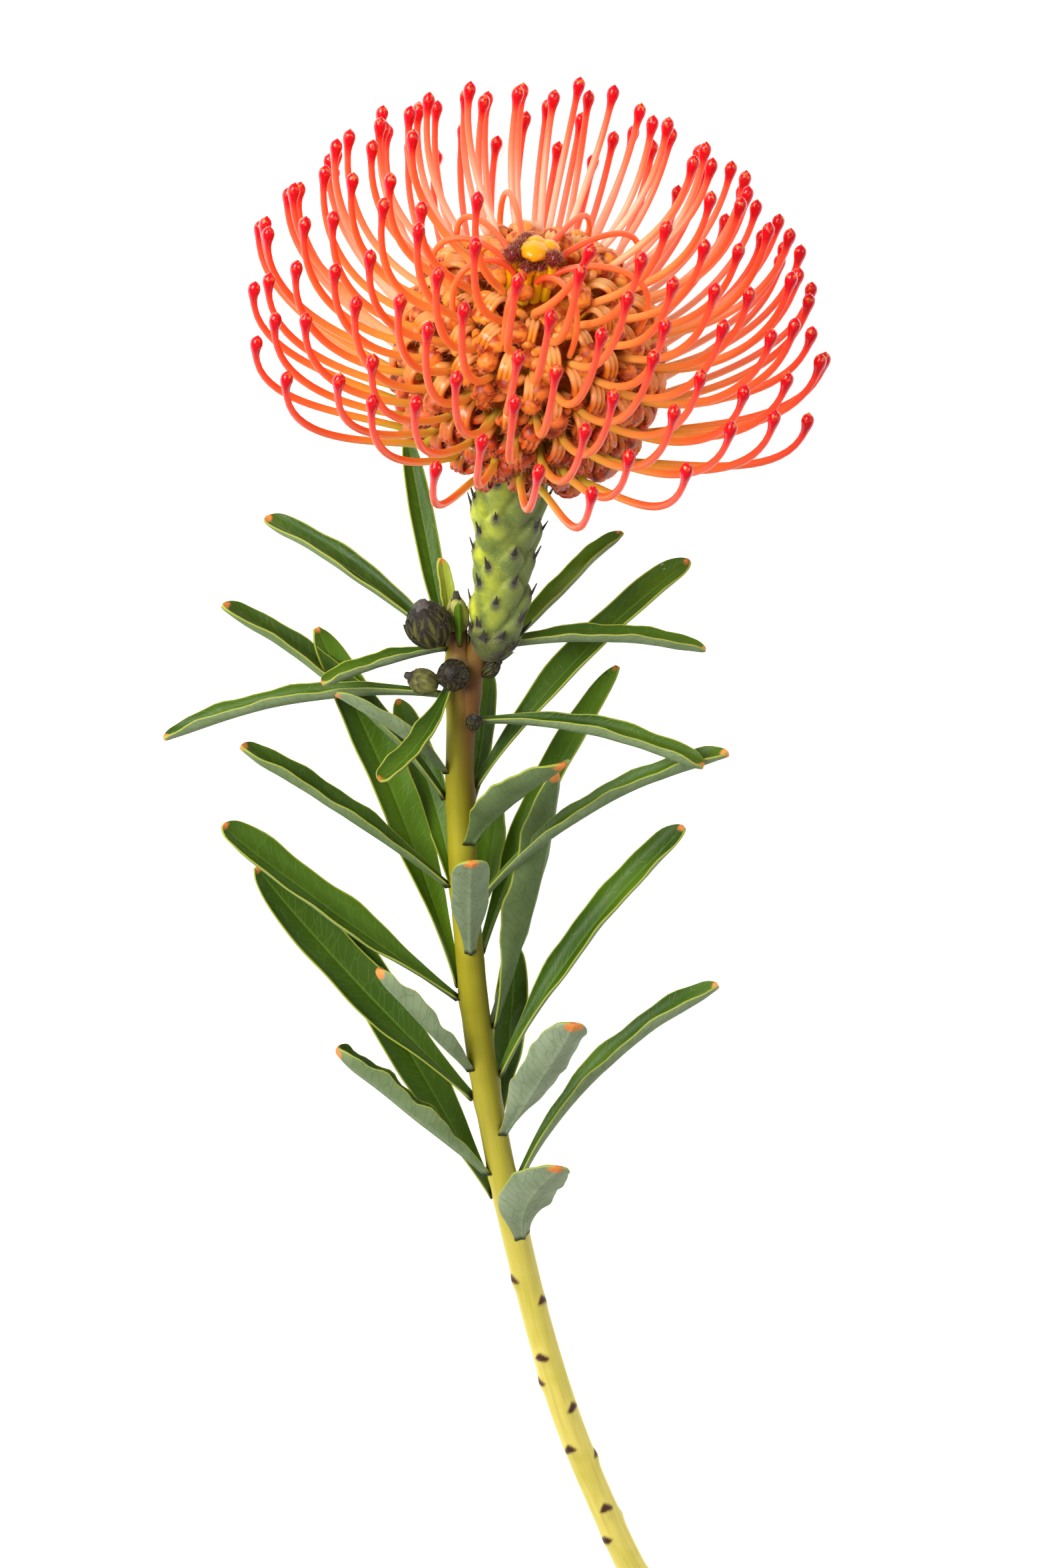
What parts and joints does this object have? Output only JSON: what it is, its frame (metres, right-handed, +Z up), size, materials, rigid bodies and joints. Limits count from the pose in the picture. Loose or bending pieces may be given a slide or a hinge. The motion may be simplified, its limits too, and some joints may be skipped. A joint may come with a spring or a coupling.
{
  "type": "pincushion protea flower",
  "caption": "Cut flower lying on its side: straight leafy stem, scaly stalk and a round head of curved coral styles with red tips.",
  "frame": {"origin": "middle of the outline seen from above, on the surface that the flower lies on", "axes": "+Y along the stem from its cut end towards the flower, +Z up from the surface, +X to the right of the stem"},
  "size_m": [0.1242, 0.3082, 0.0961],
  "materials": {
    "stem": "smooth yellow-green young wood",
    "stalk": "matt green, covered with pointed bracts",
    "floret": "waxy coral styles with glossy red tips",
    "centre": "waxy yellow, still closed",
    "leaf": "leathery, satin dark green",
    "bud": "dark hairy scales"
  },
  "bodies": {
    "root": {"bud_axil": "bud", "bud_front": "bud", "bud_large": "bud", "bud_left": "bud", "bud_pale": "bud", "bud_right": "bud", "centre_florets": "centre", "floret_spiral_01": "floret", "floret_spiral_02": "floret", "floret_spiral_03": "floret", "floret_spiral_04": "floret", "floret_spiral_05": "floret", "floret_spiral_06": "floret", "floret_spiral_07": "floret", "floret_spiral_08": "floret", "floret_spiral_09": "floret", "floret_spiral_10": "floret", "floret_spiral_11": "floret", "floret_spiral_12": "floret", "floret_spiral_13": "floret", "flower_stalk": "stalk", "leaf_01": "leaf", "leaf_02": "leaf", "leaf_03": "leaf", "leaf_04": "leaf", "leaf_05": "leaf", "leaf_06": "leaf", "leaf_07": "leaf", "leaf_08": "leaf", "leaf_09": "leaf", "leaf_10": "leaf", "leaf_11": "leaf", "leaf_12": "leaf", "leaf_13": "leaf", "leaf_14": "leaf", "leaf_15": "leaf", "leaf_16": "leaf", "leaf_17": "leaf", "leaf_18": "leaf", "leaf_19": "leaf", "leaf_20": "leaf", "leaf_21": "leaf", "leaf_22": "leaf", "leaf_23": "leaf", "leaf_24": "leaf", "leaf_25": "leaf", "leaf_26": "leaf", "leaf_27": "leaf", "leaf_28": "leaf", "leaf_29": "leaf", "leaf_30": "leaf", "leaf_31": "leaf", "leaf_32": "leaf", "leaf_33": "leaf", "stem": "stem"}
  },
  "joints": []
}
